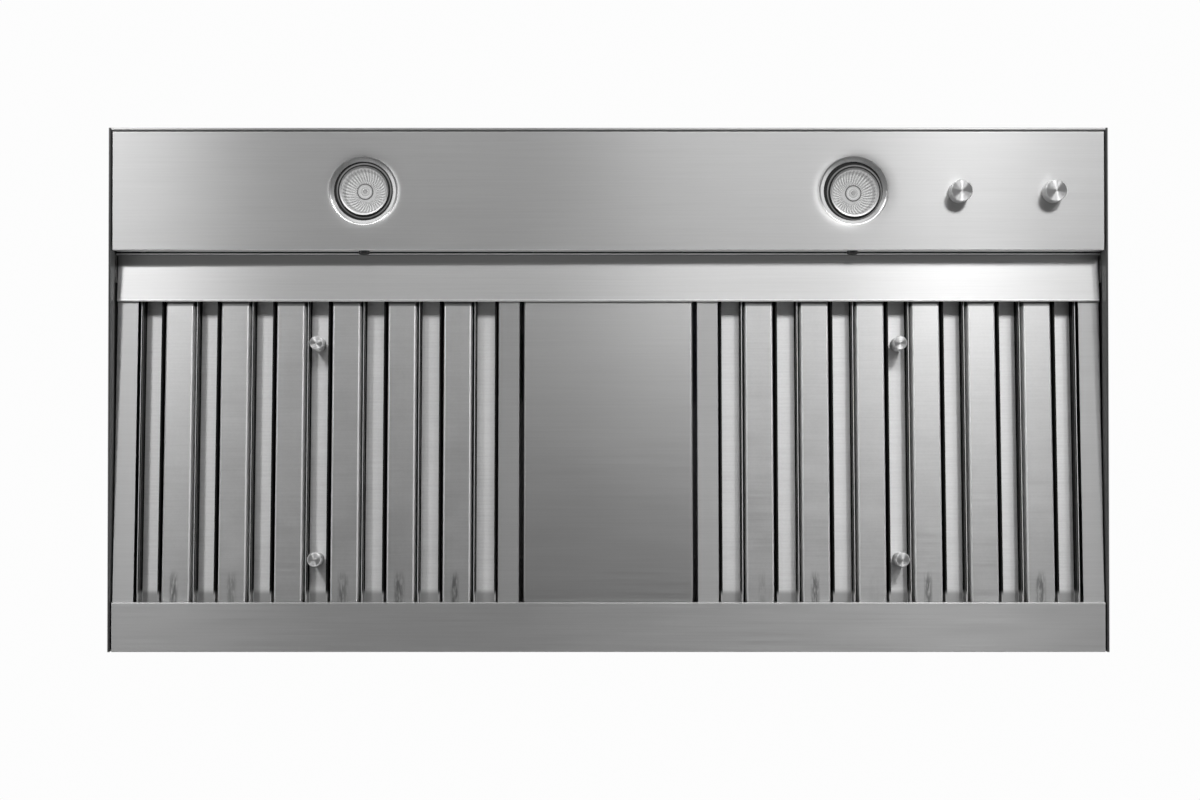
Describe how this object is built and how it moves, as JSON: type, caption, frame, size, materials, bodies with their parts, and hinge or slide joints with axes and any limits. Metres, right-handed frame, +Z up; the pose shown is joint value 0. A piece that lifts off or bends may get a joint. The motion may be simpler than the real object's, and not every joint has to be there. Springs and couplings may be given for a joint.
{
  "type": "range hood insert",
  "caption": "Stainless range hood liner for a cabinet or canopy, with slide-in baffle filters, recessed lamps, turned knobs, an enclosed blower and a round damper collar.",
  "frame": {"origin": "centre of the four cabinet mounting holes, on the top face of the lower tray", "axes": "+X to the right of someone facing the cooktop, +Y towards the wall behind, +Z up; the front is towards -Y"},
  "size_m": [1.0692, 0.5612, 0.3647],
  "materials": {
    "rim_steel": "horizontally brushed stainless, satin",
    "panel_steel": "horizontally brushed stainless, satin",
    "filter_steel": "fine grained stainless, satin",
    "knob_steel": "turned, bright",
    "top_sheet": "plain zinc coated sheet",
    "duct_sheet": "zinc coated sheet, lightly spangled",
    "blower_sheet": "zinc coated sheet",
    "bezel_dark": "matt black",
    "lamp_glass": "clear",
    "reflector_mirror": "faceted dichroic glass bowl",
    "capsule_glass": "clear",
    "socket_ceramic": "unglazed ceramic",
    "can_sheet": "zinc coated sheet",
    "bright_trim": "bright",
    "fasteners": "plated",
    "control_plastic": "moulded black",
    "bar_steel": "ground bar",
    "motor_paint": "semi-gloss black",
    "motor_core": "laminated core",
    "transformer_case": "white case"
  },
  "bodies": {
    "hood": {"blower_bolts": "fasteners", "blower_brackets": "top_sheet", "body_rivets": "fasteners", "box_screws": "fasteners", "bracket_bolts": "bright_trim", "control_nuts": "bright_trim", "damper_rod": "bar_steel", "duct_collar": "duct_sheet", "fan_speed_switch": "control_plastic", "filter_rail": "panel_steel", "front_wall": "rim_steel", "junction_box": "top_sheet", "junction_cover": "top_sheet", "lamp_capsules": "capsule_glass", "lamp_clips": "bright_trim", "lamp_panel": "panel_steel", "lamp_sockets": "socket_ceramic", "lamp_transformer": "transformer_case", "left_lamp_bezel": "bezel_dark", "left_lamp_can": "can_sheet", "left_lamp_lens": "lamp_glass", "left_lamp_reflector": "reflector_mirror", "left_motor_arm": "blower_sheet", "left_scroll_side": "blower_sheet", "left_wall": "rim_steel", "light_dimmer": "control_plastic", "motor_axle": "bar_steel", "motor_stator": "motor_core", "rear_wall": "rim_steel", "right_lamp_bezel": "bezel_dark", "right_lamp_can": "can_sheet", "right_lamp_lens": "lamp_glass", "right_lamp_reflector": "reflector_mirror", "right_motor_arm": "blower_sheet", "right_scroll_side": "blower_sheet", "right_wall": "rim_steel", "scroll_wrap": "blower_sheet", "top_panel": "top_sheet", "upper_box": "top_sheet", "upper_lid": "top_sheet"},
    "left_filter": {"left_filter_frame": "filter_steel", "left_near_baffles": "filter_steel", "left_far_baffles": "filter_steel", "left_filter_knobs": "knob_steel", "left_knob_screws": "bright_trim"},
    "right_filter": {"right_filter_frame": "filter_steel", "right_near_baffles": "filter_steel", "right_far_baffles": "filter_steel", "right_filter_knobs": "knob_steel", "right_knob_screws": "bright_trim"},
    "middle_panel": {"centre_panel": "panel_steel"},
    "fan_control": {"fan_knob": "knob_steel", "fan_shaft": "bar_steel"},
    "light_control": {"light_knob": "knob_steel", "light_shaft": "bar_steel"},
    "blower_rotor": {"blower_wheel": "blower_sheet", "motor_rotor": "motor_paint", "motor_bearings": "bar_steel"},
    "damper_front": {"front_flap": "duct_sheet"},
    "damper_rear": {"rear_flap": "duct_sheet"}
  },
  "joints": [
    {"name": "left_filter_slide", "type": "slide", "parent": "hood", "child": "left_filter", "axis": [0, -0.9985, 0.0541], "range_m": [0, 0.018]},
    {"name": "right_filter_slide", "type": "slide", "parent": "hood", "child": "right_filter", "axis": [0, -0.9985, 0.0541], "range_m": [0, 0.018]},
    {"name": "middle_panel_slide", "type": "slide", "parent": "hood", "child": "middle_panel", "axis": [0, -0.9985, 0.0541], "range_m": [0, 0.018]},
    {"name": "fan_knob_turn", "type": "hinge", "parent": "hood", "child": "fan_control", "pos_m": [0.3738, -0.2101, -0.14], "axis": [0, 0, 1], "range_deg": [0, 270]},
    {"name": "light_knob_turn", "type": "hinge", "parent": "hood", "child": "light_control", "pos_m": [0.4738, -0.2101, -0.14], "axis": [0, 0, 1], "range_deg": [0, 270]},
    {"name": "blower_spin", "type": "hinge", "parent": "hood", "child": "blower_rotor", "pos_m": [0, -0.0267, 0.055], "axis": [1, 0, 0], "continuous": true},
    {"name": "front_flap_swing", "type": "hinge", "parent": "hood", "child": "damper_front", "pos_m": [0, 0.075, 0.194], "axis": [-1, 0, 0], "range_deg": [0, 78]},
    {"name": "rear_flap_swing", "type": "hinge", "parent": "hood", "child": "damper_rear", "pos_m": [0, 0.075, 0.194], "axis": [1, 0, 0], "range_deg": [0, 78]}
  ]
}
